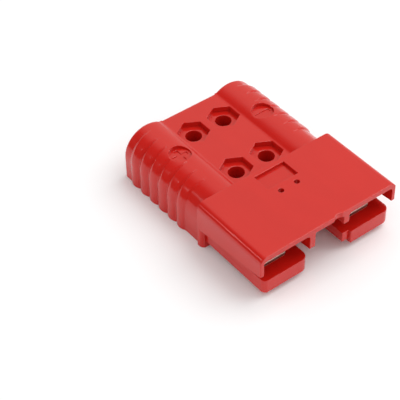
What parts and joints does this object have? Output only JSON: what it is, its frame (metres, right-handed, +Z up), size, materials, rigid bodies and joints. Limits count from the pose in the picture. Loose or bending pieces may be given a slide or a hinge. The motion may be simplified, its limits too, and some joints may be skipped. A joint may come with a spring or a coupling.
{
  "type": "genderless power connector",
  "caption": "Flat genderless power connector with a moulded housing, silver-plated crimp contacts, leaf springs, grip ribs and fixing holes with nut recesses.",
  "frame": {"origin": "middle of the footprint, on the underside of the housing", "axes": "+X across the connector towards the negative pole, +Y along it from the mating end to the cable end, +Z up through the hood"},
  "size_m": [0.064, 0.084, 0.021],
  "materials": {
    "red_plastic": "glossy moulded polycarbonate",
    "plated_copper": "silver-plated copper",
    "spring_steel": "stainless spring steel"
  },
  "bodies": {
    "root": {"housing": "red_plastic", "positive_contact": "plated_copper", "negative_contact": "plated_copper", "positive_spring": "spring_steel", "negative_spring": "spring_steel"}
  },
  "joints": []
}
